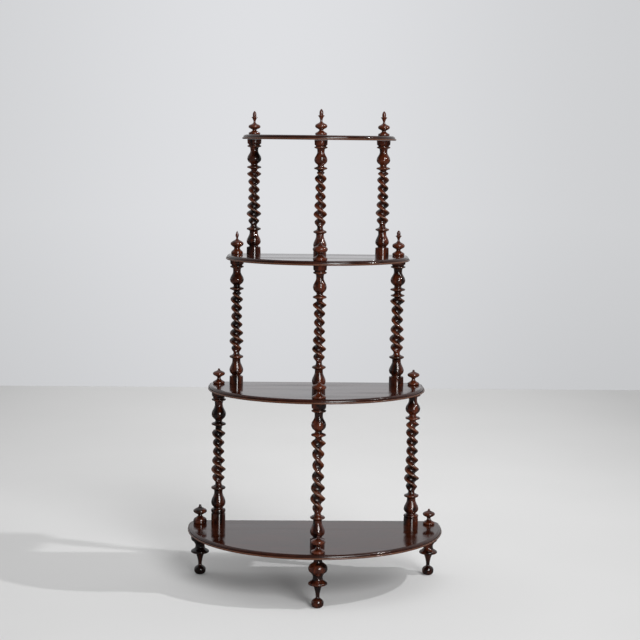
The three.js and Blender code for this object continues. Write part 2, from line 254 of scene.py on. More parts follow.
def add_piece(node, slot, grid, relief):
    """A closed skin over rows of rings listed from the lowest up: quads between neighbouring points
    and one flat face over each end. Each point keeps how far it stands out and the piece's tone. The
    piece takes its node's place."""
    name = f"polished_{node}"
    rows, sides = grid.shape[:2]
    index = np.arange(rows * sides).reshape(rows, sides)
    after = np.roll(index, -1, axis=1)
    quads = np.stack([index[:-1], after[:-1], after[1:], index[1:]], axis=2).reshape(-1, 4)
    loops = np.concatenate([quads.ravel(), index[0, ::-1], index[-1]])
    starts = np.concatenate([np.arange(len(quads)) * 4, len(quads) * 4 + np.array([0, sides])])
    mesh = bpy.data.meshes.new(name)
    mesh.vertices.add(rows * sides)
    mesh.vertices.foreach_set("co", grid.astype(np.float32).ravel())
    mesh.loops.add(len(loops))
    mesh.loops.foreach_set("vertex_index", loops.astype(np.int32))
    mesh.polygons.add(len(starts))
    mesh.polygons.foreach_set("loop_start", starts.astype(np.int32))
    mesh.update(calc_edges=True)
    for key, values in (("relief", relief), ("tone", np.full_like(relief, TONES.get(node, 0.0)))):
        attribute = mesh.attributes.new(key, "FLOAT", "POINT")
        attribute.data.foreach_set("value", values.astype(np.float32).ravel())
    # Marking the sharp edges clears the smooth flags, so these come after it.
    mesh.set_sharp_from_angle(angle=SHARP_ANGLE)
    mesh.polygons.foreach_set("use_smooth", np.arange(len(starts)) < len(quads))
    mesh.materials.append(polished_mahogany(slot))
    piece = add_object(name, mesh)
    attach(piece, BODY)
    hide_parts(node)


# Profiles, each row a share of a length and a share of a radius

HEAD_SHARES = [
    (1.000, 0.79), (0.990, 0.79), (0.983, 0.86), (0.975, 0.94), (0.960, 0.985), (0.940, 0.985),
    (0.925, 0.93), (0.910, 0.78), (0.895, 0.65), (0.875, 0.59), (0.840, 0.565), (0.770, 0.55),
    (0.700, 0.61), (0.620, 0.765), (0.540, 0.93), (0.455, 0.99), (0.380, 0.93), (0.310, 0.73),
    (0.265, 0.53), (0.238, 0.475), (0.215, 0.475), (0.195, 0.52), (0.177, 0.66), (0.160, 0.85),
    (0.143, 0.965), (0.122, 1.00), (0.100, 0.99), (0.084, 0.90), (0.068, 0.71), (0.050, 0.56),
    (0.030, 0.47), (0.000, 0.43),
]
CAP_SHARES = [
    (0.0, 0.79), (0.08, 0.80), (0.15, 0.86), (0.21, 0.95), (0.35, 0.97), (0.90, 0.995), (0.98, 1.0),
    (1.0, 0.975),
]
BASE_SHARES = [
    (0.000, 0.93), (0.012, 0.82), (0.024, 0.66), (0.045, 0.63), (0.075, 0.69), (0.120, 0.84),
    (0.180, 0.96), (0.255, 1.00), (0.340, 0.95), (0.440, 0.81), (0.530, 0.67), (0.620, 0.59),
    (0.700, 0.585), (0.728, 0.62), (0.752, 0.74), (0.772, 0.89), (0.792, 0.98), (0.818, 1.00),
    (0.844, 0.98), (0.866, 0.87), (0.888, 0.68), (0.914, 0.54), (0.950, 0.455), (1.000, 0.43),
]
PLINTH_SHARES = [(0.0, 1.0), (0.50, 0.985), (0.93, 0.97), (0.985, 0.962), (1.0, 0.93)]
RINGED_PLINTH_SHARES = [
    (0.0, 1.0), (0.45, 0.99), (0.68, 0.975), (0.70, 0.96), (0.715, 0.88), (0.73, 0.85),
    (0.745, 0.88), (0.765, 0.95), (0.80, 0.99), (0.86, 1.01), (0.92, 1.00), (0.97, 0.97), (1.0, 0.93),
]
EXTRA_DISC_SHARES = [
    (1.0, 0.43), (0.86, 0.48), (0.72, 0.60), (0.60, 0.80), (0.50, 0.91), (0.39, 0.94),
    (0.28, 0.89), (0.18, 0.72), (0.08, 0.52), (0.0, 0.43),
]
RIDGE_SHARES = [
    (0.00, 0.43), (0.04, 0.66), (0.10, 0.88), (0.20, 1.03), (0.35, 0.94), (0.50, 0.83),
    (0.62, 0.79), (0.75, 0.81), (0.87, 0.90), (0.935, 1.00), (0.97, 0.78), (1.00, 0.43),
]
ROOT_SHARES = [
    (0.00, 0.43), (0.06, 0.43), (0.25, 0.44), (0.50, 0.36), (0.72, 0.36), (0.94, 0.40), (1.00, 0.43),
]
SHORT_FINIAL_SHARES = [
    (0.000, 0.90), (0.020, 0.95), (0.055, 0.98), (0.100, 0.975), (0.140, 0.88), (0.175, 0.72),
    (0.215, 0.55), (0.265, 0.40), (0.320, 0.32), (0.370, 0.29), (0.415, 0.32), (0.455, 0.42),
    (0.500, 0.62), (0.545, 0.83), (0.600, 0.965), (0.655, 1.00), (0.710, 0.965), (0.760, 0.83),
    (0.800, 0.62), (0.835, 0.42), (0.865, 0.28), (0.895, 0.19), (0.920, 0.165), (0.945, 0.185),
    (0.968, 0.175), (0.988, 0.11), (1.000, 0.004),
]
THICK_FINIAL_SHARES = [
    (0.000, 0.93), (0.020, 0.97), (0.080, 1.00), (0.170, 0.985), (0.230, 0.92), (0.270, 0.82),
    (0.320, 0.59), (0.375, 0.39), (0.426, 0.30), (0.477, 0.44), (0.530, 0.71), (0.580, 0.91),
    (0.630, 1.00), (0.683, 0.985), (0.734, 0.87), (0.785, 0.61), (0.837, 0.33), (0.890, 0.21),
    (0.930, 0.18), (0.960, 0.185), (0.985, 0.13), (1.000, 0.004),
]
TALL_FINIAL_SHARES = [
    (0.000, 0.91), (0.015, 0.955), (0.045, 0.975), (0.080, 0.95), (0.105, 0.80), (0.132, 0.60),
    (0.162, 0.43), (0.187, 0.345), (0.208, 0.35), (0.232, 0.45), (0.258, 0.65), (0.290, 0.87),
    (0.325, 0.975), (0.360, 1.00), (0.395, 0.965), (0.428, 0.83), (0.455, 0.62), (0.480, 0.42),
    (0.510, 0.27), (0.540, 0.195),
]
TALL_BALL_SHARE = 0.36
WAIST_SHARE = 0.58
ACORN_SHARES = [
    (0.585, 0.36), (0.615, 0.40), (0.650, 0.52), (0.695, 0.66), (0.722, 0.82), (0.738, 0.985),
    (0.750, 1.00), (0.762, 0.86), (0.778, 0.62), (0.800, 0.575), (0.840, 0.61), (0.885, 0.595),
    (0.930, 0.49), (0.965, 0.33), (0.988, 0.16), (1.000, 0.01),
]
PLAIN_FINIAL_SHARES = [
    (0.000, 0.86), (0.020, 0.90), (0.060, 0.91), (0.110, 0.86), (0.150, 0.72), (0.200, 0.53),
    (0.250, 0.457), (0.290, 0.50), (0.330, 0.68), (0.370, 0.86), (0.410, 0.97), (0.450, 1.00),
    (0.490, 0.96), (0.530, 0.83), (0.570, 0.62), (0.600, 0.42), (0.640, 0.22), (0.680, 0.15),
    (0.720, 0.17), (0.760, 0.225), (0.810, 0.26), (0.860, 0.235), (0.910, 0.17), (0.960, 0.10),
    (1.000, 0.004),
]
# Where the ball of each tall finial stands, as a share of its height, and its acorn's radius in mm.
TALL_FINIALS = {
    "upper_front": (0.42, 6.66), "upper_right": (0.39, 8.51),
    "top_left": (0.34, 8.14), "top_front": (0.35, 8.51), "top_right": (0.35, 8.73),
}
FOOT_SHARES = [
    (0.000, 0.32), (0.010, 0.44), (0.030, 0.55), (0.062, 0.625), (0.100, 0.64), (0.138, 0.59),
    (0.166, 0.46), (0.184, 0.31), (0.196, 0.225), (0.215, 0.20), (0.260, 0.21), (0.310, 0.25),
    (0.350, 0.30), (0.388, 0.36), (0.420, 0.42), (0.436, 0.52), (0.450, 0.71), (0.463, 0.90),
    (0.475, 0.985), (0.490, 1.00), (0.505, 0.985), (0.518, 0.91), (0.535, 0.77), (0.556, 0.62),
    (0.585, 0.53), (0.620, 0.51), (0.655, 0.56), (0.680, 0.65), (0.697, 0.70), (0.708, 0.78),
    (0.735, 0.93), (0.778, 1.00), (0.815, 0.98), (0.850, 0.89), (0.880, 0.72), (0.905, 0.55),
    (0.930, 0.46), (0.960, 0.44), (1.000, 0.49),
]

# Each column in millimetres: radius, then from the top down cap, head, second disc, half turn of
# the twist, how far down the twist a ridge first faces sideways, base and plinth.
COLUMNS = {
    "lower_left": (19.67, 28.05, 81.53, 0, 24.80, 17.51, 72.47, 40.99),
    "lower_front": (19.47, 16.50, 75.98, 0, 29.59, 13.02, 66.99, 21.00),
    "lower_right": (20.29, 13.05, 76.50, 0, 25.61, 6.99, 65.01, 27.01),
    "middle_left": (18.82, 18.00, 72.00, 0, 22.80, 21.79, 65.47, 21.00),
    "middle_front": (17.95, 15.50, 76.50, 0, 23.10, 11.51, 66.00, 22.01),
    "middle_right": (20.27, 15.00, 74.25, 12.7, 26.20, 10.01, 66.00, 22.01),
    "upper_left": (19.16, 15.00, 68.03, 0, 21.59, 9.50, 59.99, 19.99),
    "upper_front": (17.30, 16.01, 65.03, 0, 22.89, 20.01, 60.98, 22.01),
    "upper_right": (18.60, 15.00, 68.03, 0, 22.09, 1.99, 59.99, 21.00),
}
RINGED_PLINTHS = ("lower_left", "lower_right")
# How much a strand swells beside its hollow where the hollow is deepest.
STRAND_SWELL = 0.8

# How far a piece's figure is moved towards rich red, or below zero towards deep brown, against its
# fellows: the left pieces below are darker, the upper and top pieces redder.
TONES = {
    "lower_column_left": -0.35, "foot_left": -0.50, "bottom_finial_left": -0.45,
    "middle_column_left": -0.05, "upper_column_front": 0.15, "upper_column_right": 0.20,
    "upper_finial_right": 0.20, "upper_finial_front": 0.10,
    "top_finial_left": 0.20, "top_finial_front": 0.30, "top_finial_right": 0.35,
}


# Materials

# The output of a Mix node that holds a colour, which shares its name with three others.
COLOUR = 2

# How the figure is drawn out along the grain: the pattern's scale along each axis.
ALONG_X = Vector((0.08, 1.0, 1.0))
ALONG_Z = Vector((1.0, 1.0, 0.3))
# The wood of each slot: its grain, the width of a streak, how far its darkest and its brightest
# streaks stand from deep brown, at 0, to rich red, at 1, and the IOR of the film.
WOODS = {
    # Sawn boards: long, fine, quiet streaks from end to end, under a thin clear film.
    "board_wood": (ALONG_X, 9 * MM, (0.18, 0.56), 1.5),
    # Turned columns: broad streaks up the piece, from nearly black to red, under a glossier film.
    "column_wood": (ALONG_Z, 20 * MM, (-0.10, 1.05), 1.6),
    # Turned finials: the same wood, redder.
    "finial_wood": (ALONG_Z, 20 * MM, (0.3, 1.2), 1.6),
    # Turned feet: the same wood, a little darker.
    "foot_wood": (ALONG_Z, 20 * MM, (-0.2, 0.9), 1.6),
}
# Pores about 0.8 mm wide, drawn a little coarser than life so that they show.
PORES_PER_METRE = 1200
# How deep the film sinks into the figure, which makes reflections waver.
FILM_SINK = 0.6 * MM
# Patches of worn film are six streaks wide.
PATCHES_PER_STREAK = 0.17


def add_node(tree, kind, inputs=(), **settings):
    """Adds a node with its settings. An input goes by its name or, where several share one, by its
    identifier. It is linked where it gets another node's output, and set where it gets a value."""
    node = tree.nodes.new(kind)
    for key, value in settings.items():
        setattr(node, key, value)
    for key, value in dict(inputs).items():
        socket = next(socket for socket in node.inputs if key in (socket.identifier, socket.name))
        if isinstance(value, NodeSocket):
            tree.links.new(value, socket)
        else:
            socket.default_value = value
    return node


def empty_material(name):
    """A new material whose node tree has no nodes yet."""
    material = bpy.data.materials.new(name)
    material.use_nodes = True
    material.node_tree.nodes.clear()
    return material


def polished_mahogany(slot):
    """Mahogany with a French polish, made once for each record slot. Its figure is long soft streaks
    of deep and rich brown along the grain and its pores are short dark dashes. Its hollows are darkened
    by dark polish built up there and by painted shade, and its crests are lightened to amber by wear
    and by painted highlight. The shellac film gives a clear, slightly uneven mirror over it, which has
    gone duller in patches."""
    name = f"french_polished_mahogany_{slot}"
    if name in bpy.data.materials:
        return bpy.data.materials[name]
    grain, width, (darkest, brightest), film = WOODS[slot]
    polish = bpy.context.scene.etagere_polish
    material = empty_material(name)
    tree = material.node_tree
    place = add_node(tree, "ShaderNodeTexCoord").outputs["Object"]
    streaks = add_node(tree, "ShaderNodeMapping", {"Vector": place, "Scale": tuple(grain / width)})
    figure = add_node(
        tree, "ShaderNodeTexNoise",
        {
            "Vector": streaks.outputs["Vector"], "Scale": 1.0, "Detail": 4.0, "Roughness": 0.55,
            "Distortion": 0.6,
        },
    )
    dashes = add_node(
        tree, "ShaderNodeMapping", {"Vector": place, "Scale": tuple(grain * PORES_PER_METRE)}
    )
    pores = add_node(
        tree, "ShaderNodeTexNoise",
        {"Vector": dashes.outputs["Vector"], "Scale": 1.0, "Detail": 2.0, "Roughness": 0.5},
    )
    # The wood itself, between its two browns, moved by the piece's tone.
    streaked = add_node(
        tree, "ShaderNodeMapRange",
        {
            "Value": figure.outputs["Fac"], "From Min": 0.36, "From Max": 0.64, "To Min": darkest,
            "To Max": brightest,
        },
    )
    tone = add_node(tree, "ShaderNodeAttribute", attribute_name="tone")
    toned = add_node(
        tree, "ShaderNodeMath",
        {"Value": streaked.outputs["Result"], "Value_001": tone.outputs["Fac"]},
        operation="ADD", use_clamp=True,
    )
    wood = add_node(
        tree, "ShaderNodeMix",
        {"Factor": toned.outputs["Value"], "A_Color": polish.deep, "B_Color": polish.rich},
        data_type="RGBA",
    )
    # Wear, dirt and painted light, one over the other: crests lightened by wear and by painted
    # highlight, hollows darkened by old polish and by painted shade, and filled pores.
    relief = add_node(tree, "ShaderNodeAttribute", attribute_name="relief").outputs["Fac"]
    # The crests turn amber by wear and by painted highlight.
    crest = add_node(
        tree, "ShaderNodeMapRange",
        {"Value": relief, "From Min": 0.60, "From Max": 1.0, "To Min": 0.0, "To Max": 0.34},
    )
    rubbed_and_highlit = add_node(
        tree, "ShaderNodeMix",
        {"Factor": crest.outputs["Result"], "A_Color": wood.outputs[COLOUR], "B_Color": polish.amber},
        data_type="RGBA",
    )
    # The hollows turn dark by old polish and by painted shade.
    hollow = add_node(
        tree, "ShaderNodeMapRange",
        {"Value": relief, "From Min": 0.12, "From Max": 0.50, "To Min": 0.62, "To Max": 0.0},
    )
    sooty_and_shaded = add_node(
        tree, "ShaderNodeMix",
        {"Factor": hollow.outputs["Result"], "A_Color": rubbed_and_highlit.outputs[COLOUR], "B_Color": polish.soot_and_shade},
        data_type="RGBA",
    )
    pored = add_node(
        tree, "ShaderNodeMapRange",
        {
            "Value": pores.outputs["Fac"], "From Min": 0.56, "From Max": 0.68, "To Min": 0.0,
            "To Max": 0.45,
        },
    )
    colour = add_node(
        tree, "ShaderNodeMix",
        {"Factor": pored.outputs["Result"], "A_Color": sooty_and_shaded.outputs[COLOUR], "B_Color": polish.soot_and_shade},
        data_type="RGBA",
    )
    ripple = add_node(
        tree, "ShaderNodeBump",
        {"Height": figure.outputs["Fac"], "Strength": 0.10, "Distance": FILM_SINK},
    )
    # The strands' hollows and crests are duller than the even turning between them.
    turned_off = add_node(
        tree, "ShaderNodeMath", {"Value": relief, "Value_001": EVEN_RELIEF}, operation="SUBTRACT"
    )
    away = add_node(
        tree, "ShaderNodeMath", {"Value": turned_off.outputs["Value"]}, operation="ABSOLUTE"
    )
    dull = add_node(
        tree, "ShaderNodeMapRange",
        {
            "Value": away.outputs["Value"], "From Min": 0.10, "From Max": 0.45, "To Min": 0.09,
            "To Max": 0.22,
        },
    )
    # Worn patches of the film show as stripes in the sheen.
    patches = add_node(
        tree, "ShaderNodeTexNoise",
        {
            "Vector": streaks.outputs["Vector"], "Scale": PATCHES_PER_STREAK, "Detail": 5.0,
            "Roughness": 0.65,
        },
    )
    worn = add_node(
        tree, "ShaderNodeMapRange",
        {
            "Value": patches.outputs["Fac"], "From Min": 0.44, "From Max": 0.62, "To Min": 0.0,
            "To Max": 0.13,
        },
    )
    rough = add_node(
        tree, "ShaderNodeMath",
        {"Value": dull.outputs["Result"], "Value_001": worn.outputs["Result"]},
        operation="ADD",
    )
    shader = add_node(
        tree, "ShaderNodeBsdfPrincipled",
        {
            "Base Color": colour.outputs[COLOUR], "Normal": ripple.outputs["Normal"],
            "Roughness": rough.outputs["Value"], "IOR": film,
        },
    )
    add_node(tree, "ShaderNodeOutputMaterial", {"Surface": shader.outputs["BSDF"]})
    return material


# Operators, one for each group of like pieces

# The edge of a board. Heights and the bead's radius are shares of its thickness.
BEAD_SHARE = 0.19
BEAD_LIFT_SHARE = 0.02
GROOVE_SHARE = 0.055
THUMB_FOOT_SHARE = 0.455
STEP_SHARE = 0.045
# Insets of the underside, its arris, the groove and the thumb's foot, as shares of the bead's radius.
UNDERSIDE_INSET_SHARE = 2.2
ARRIS_INSET_SHARE = 1.1
GROOVE_INSET_SHARE = 1.7
THUMB_FOOT_INSET_SHARE = 1.25
# Insets of the thumb's top and of the step, as shares of the moulding's width, and how far the step's
# arris is rounded, as a share of its rise.
THUMB_TOP_INSET_SHARE = 0.97
STEP_INSET_SHARE = 0.98
STEP_ROUND_SHARE = 0.3
# How far each member counts as standing out, which sets its colour: the lip is lightened by wear
# and by painted highlight, the groove is darkened by old polish and by painted shade, and the thumb
# is darkened by painted shade.
BEAD_RELIEF = 0.88
GROOVE_LIP_RELIEF = 0.2
GROOVE_RELIEF = 0.0
THUMB_RELIEF = 0.32
STEP_RELIEF = 0.6
# Steps of the bead's half circle, and of the thumb and a back corner, a quarter each.
BEAD_STEPS = 12
QUARTER_STEPS = 16


def edge_profile(width, thickness):
    """Inset from the lip and height up the edge of a board, from the underside up. A small bead, half
    a circle, is the lip. A narrow square groove parts it from a thumb moulding, a quarter of an
    ellipse, which ends in a low step at the top face."""
    bead = BEAD_SHARE * thickness
    u = np.linspace(-QUARTER_TURN, QUARTER_TURN, BEAD_STEPS + 1)
    bead_inset = bead * (1 - np.cos(u))
    bead_height = bead * (1 + np.sin(u)) + BEAD_LIFT_SHARE * thickness
    step = STEP_SHARE * thickness
    foot_inset, foot_height = bead * THUMB_FOOT_INSET_SHARE, THUMB_FOOT_SHARE * thickness
    top_inset, top_height = width * THUMB_TOP_INSET_SHARE, thickness - step
    v = np.linspace(0.0, QUARTER_TURN, QUARTER_STEPS + 1)
    thumb_inset = top_inset - (top_inset - foot_inset) * np.cos(v)
    thumb_height = foot_height + (top_height - foot_height) * np.sin(v)
    under_inset = [bead * UNDERSIDE_INSET_SHARE, bead * ARRIS_INSET_SHARE]
    groove_inset = [bead * GROOVE_INSET_SHARE, bead * GROOVE_INSET_SHARE]
    groove_height = [foot_height - GROOVE_SHARE * thickness, foot_height]
    step_inset = [width * STEP_INSET_SHARE, width]
    step_height = [thickness - STEP_ROUND_SHARE * step, thickness]
    inset = np.concatenate([under_inset, bead_inset, groove_inset, thumb_inset, step_inset])
    height = np.concatenate([[0.0, 0.0], bead_height, groove_height, thumb_height, step_height])
    # The members' relief paints the edge: a light lip as painted highlight, a dark groove and thumb as
    # painted shade.
    relief = np.concatenate(
        [
            [EVEN_RELIEF, EVEN_RELIEF], np.full(BEAD_STEPS, BEAD_RELIEF),
            [GROOVE_LIP_RELIEF, GROOVE_RELIEF, GROOVE_RELIEF, GROOVE_LIP_RELIEF],
            np.full(QUARTER_STEPS, THUMB_RELIEF), [STEP_RELIEF, EVEN_RELIEF],
        ]
    )
    return inset, height, relief


def board_grid(low, high, settings):
    """Rows of one closed outline each. At an inset o the outline has two back corners of the same
    radius, straight returns, and the front half of an ellipse with half axes (half width - o) and
    (depth before the widest line - o). The straight back edge keeps its place."""
    inset, height, relief = edge_profile(settings.moulding_width, high.z - low.z)
    half = high.x - inset[:, None]
    radius = settings.corner_radius
    widest = high.y - settings.return_depth
    quarter = np.linspace(0.0, QUARTER_TURN, QUARTER_STEPS + 1)[None, :]
    front = np.linspace(math.pi, FULL_TURN, settings.outline_steps + 1)[None, :]
    right_x = half - radius + radius * np.cos(quarter)
    right_y = np.broadcast_to(high.y - radius + radius * np.sin(quarter), right_x.shape)
    left_x = -right_x[:, ::-1]
    left_y = right_y[:, ::-1]
    front_x = half * np.cos(front)
    front_y = widest + (widest - low.y - inset[:, None]) * np.sin(front)
    x = np.concatenate([right_x, left_x, front_x], axis=1)
    y = np.concatenate([right_y, left_y, front_y], axis=1)
    z = np.broadcast_to((low.z + height)[:, None], x.shape)
    return np.stack([x, y, z], axis=2), np.broadcast_to(relief[:, None], x.shape)


class ETAGERE_OT_boards(Operator):
    """Builds the four D-shaped boards with their moulded edges"""

    bl_idname = "etagere.boards"
    bl_label = "Boards"

    def execute(self, context):
        for shelf in SHELVES:
            node = f"{shelf}_shelf"
            low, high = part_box(node)
            grid, relief = board_grid(low, high, context.scene.etagere_boards)
            add_piece(node, "board_wood", grid, relief)
        return {"FINISHED"}


# How far apart rows lie on the long even twist, and on a finial's small members, as shares of the
# row spacing.
TWIST_SPACING_SHARE = 1.4
FINIAL_SPACING_SHARE = 0.7


def column_grid(key, seat, shoulder, centre, settings):
    """From the seat up: plinth, base, twist, second disc, head and cap. In the twist the ring's long
    radius turns half a turn in each half-turn length, so two strands wind left-handed."""
    radius, cap, head, disc, half_turn, first_ridge, base, plinth = np.array(COLUMNS[key]) * MM
    radius *= settings.girth
    spacing = settings.row_spacing
    twist_foot = seat + plinth + base
    disc_top = shoulder - cap - head
    twist_top = disc_top - disc
    length = twist_top - twist_foot
    start_angle = -first_ridge / half_turn * math.pi
    end_angle = (length - first_ridge) / half_turn * math.pi
    parts = []

    def turned(shares, start, span, angle):
        heights, radii = turned_rows(shares, start, span, radius, spacing)
        flat = np.zeros_like(heights)
        parts.append((heights, radii, radii, flat, flat + angle))

    turned(RINGED_PLINTH_SHARES if key in RINGED_PLINTHS else PLINTH_SHARES, seat, plinth, end_angle)
    turned(BASE_SHARES, seat + plinth, base, end_angle)
    up = np.linspace(0.0, 1.0, int(length / (TWIST_SPACING_SHARE * spacing)))[1:-1]
    ridges, roots = (
        smooth_curve(*np.array(shares).T, up) * radius for shares in (RIDGE_SHARES, ROOT_SHARES)
    )
    angles = ((1 - up) * length - first_ridge) / half_turn * math.pi
    parts.append((twist_foot + up * length, ridges, roots, STRAND_SWELL * (1 - roots / ridges), angles))
    if disc > 0:
        turned(EXTRA_DISC_SHARES[::-1], twist_top, disc, start_angle)
    turned(HEAD_SHARES[::-1], disc_top, head, start_angle)
    turned(CAP_SHARES, shoulder - cap, cap, start_angle)
    columns = [np.concatenate(values) for values in zip(*parts)]
    grid = strand_grid(*columns, settings.column_sides, centre)
    return grid, relief_of(grid, centre, radius, spacing)


class ETAGERE_OT_columns(Operator):
    """Builds the nine barley-twist columns"""

    bl_idname = "etagere.columns"
    bl_label = "Columns"

    def execute(self, context):
        settings = context.scene.etagere_turning
        for number, tier in enumerate(TIERS):
            below, above = SHELVES[number], SHELVES[number + 1]
            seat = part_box(f"{below}_shelf")[1].z + settings.fit
            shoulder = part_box(f"{above}_shelf")[0].z - settings.fit
            for place in PLACES:
                centre = axis_of(f"{above}_finial_{place}")
                grid, relief = column_grid(f"{tier}_{place}", seat, shoulder, centre, settings)
                add_piece(f"{tier}_column_{place}", "column_wood", grid, relief)
        return {"FINISHED"}


def finial_rows(node, shelf, place, spacing):
    """Profile of a finial in the box of its solid: base, neck and ball, and on the upper boards a
    slim stem with an acorn. A tall one is stretched below its waist until its ball stands at its own
    height, and above the waist to fill the rest."""
    low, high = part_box(node)
    height, radius = high.z - low.z, (high.x - low.x) / 2
    key = f"{shelf}_{place}"
    if key in TALL_FINIALS:
        ball, acorn = TALL_FINIALS[key]
        lift = ball / TALL_BALL_SHARE
        waist = WAIST_SHARE * lift
        body = np.array(TALL_FINIAL_SHARES) * (lift, 1)
        up, across = np.array(ACORN_SHARES).T
        up = waist + (up - WAIST_SHARE) * (1 - waist) / (1 - WAIST_SHARE)
        tip = np.stack([up, across * acorn * MM / radius], axis=1)
        shares = np.concatenate([body, tip])
    elif shelf == "upper":
        shares = PLAIN_FINIAL_SHARES
    elif key == "bottom_left":
        shares = THICK_FINIAL_SHARES
    else:
        shares = SHORT_FINIAL_SHARES
    return turned_rows(shares, low.z, height, radius, spacing)


class ETAGERE_OT_finials(Operator):
    """Builds the twelve turned finials"""

    bl_idname = "etagere.finials"
    bl_label = "Finials"

    def execute(self, context):
        settings = context.scene.etagere_turning
        spacing = FINIAL_SPACING_SHARE * settings.row_spacing
        for shelf in SHELVES:
            for place in PLACES:
                node = f"{shelf}_finial_{place}"
                centre = axis_of(node)
                heights, radii = finial_rows(node, shelf, place, spacing)
                grid = round_grid(heights, radii, centre, settings.finial_sides)
                relief = relief_of(grid, centre, radii.max(), spacing)
                add_piece(node, "finial_wood", grid, relief)
        return {"FINISHED"}


class ETAGERE_OT_feet(Operator):
    """Builds the three turned feet"""

    bl_idname = "etagere.feet"
    bl_label = "Feet"

    def execute(self, context):
        settings = context.scene.etagere_turning
        radius, spacing = settings.foot_radius, settings.row_spacing
        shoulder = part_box("bottom_shelf")[0].z - settings.fit
        heights, radii = turned_rows(FOOT_SHARES, 0.0, shoulder, radius, spacing)
        for place in PLACES:
            centre = axis_of(f"bottom_finial_{place}")
            grid = round_grid(heights, radii, centre, settings.column_sides)
            add_piece(f"foot_{place}", "foot_wood", grid, relief_of(grid, centre, radius, spacing))
        return {"FINISHED"}


# Stage

# The camera stands left of the middle, about four metres in front, at the height of the top board.
# Its place is in metres, its turns in radians and its lens and sensor in millimetres.
CAMERA_PLACE = (-0.1314, -4.1882, 1.2038)
CAMERA_PAN = -0.0321
CAMERA_TILT = -0.1128
CAMERA_ROLL = 0.0120
CAMERA_LENS = 90.0
CAMERA_SENSOR = 36.0

# What the lamps face, and how far off the even one is drawn.
AIM = Vector((0.0, 0.0, 0.55))
FAR_DISTANCE = 6.0

WHITE = linear_colour("#FFFFFF")
BLACK = linear_colour("#000000")
BACKDROP_MIDDLE = linear_colour("#DFE0E3")
BACKDROP_SIDES = linear_colour("#CFD0D2")
# Light of the front wall, as a share of the rear wall's, and from between the walls and the ceiling.
FRONT_WALL_SHARE = 0.6
GAP_LIGHT = 0.05
# How pale the floor is where it shows in the polish.
MIRRORED_FLOOR = linear_colour("#707070")


def place_lamp(lamp, azimuth, elevation, distance):
    """Puts a lamp where it faces the middle of the object. Azimuth is turned from the front to the
    right, elevation up from the floor, both in degrees."""
    turn, rise = math.radians(azimuth), math.radians(elevation)
    level = math.cos(rise)
    towards = Vector((math.sin(turn) * level, -math.cos(turn) * level, math.sin(rise)))
    holder = add_object(lamp.name, lamp)
    holder.location = AIM + towards * distance
    holder.rotation_euler = towards.to_track_quat("Z", "Y").to_euler()


def far_lamp(name, azimuth, elevation, spread, share):
    """A lamp so far away that its light is even. A share of 1 lights a white floor to white."""
    lamp = bpy.data.lights.new(name, "SUN")
    lamp.angle = math.radians(spread)
    lamp.energy = share * math.pi / math.sin(math.radians(elevation))
    place_lamp(lamp, azimuth, elevation, FAR_DISTANCE)


def near_lamp(name, place, radius, share):
    """A small bare lamp whose light doesn't fade over the metres of this stage. A share of 1 lights a
    white floor straight below it to white."""
    lamp = bpy.data.lights.new(name, "POINT")
    lamp.shadow_soft_size = radius
    lamp.energy = share * 4 * math.pi**2
    lamp.use_nodes = True
    tree = lamp.node_tree
    fade = add_node(tree, "ShaderNodeLightFalloff", {"Strength": 1.0})
    tree.links.new(fade.outputs["Constant"], tree.nodes["Emission"].inputs["Strength"])
    add_object(name, lamp).location = place


def softbox(name, azimuth, elevation, distance, side, power):
    """A square lamp with a soft, even face."""
    lamp = bpy.data.lights.new(name, "AREA")
    lamp.shape = "SQUARE"
    lamp.size = side
    lamp.energy = power
    place_lamp(lamp, azimuth, elevation, distance)


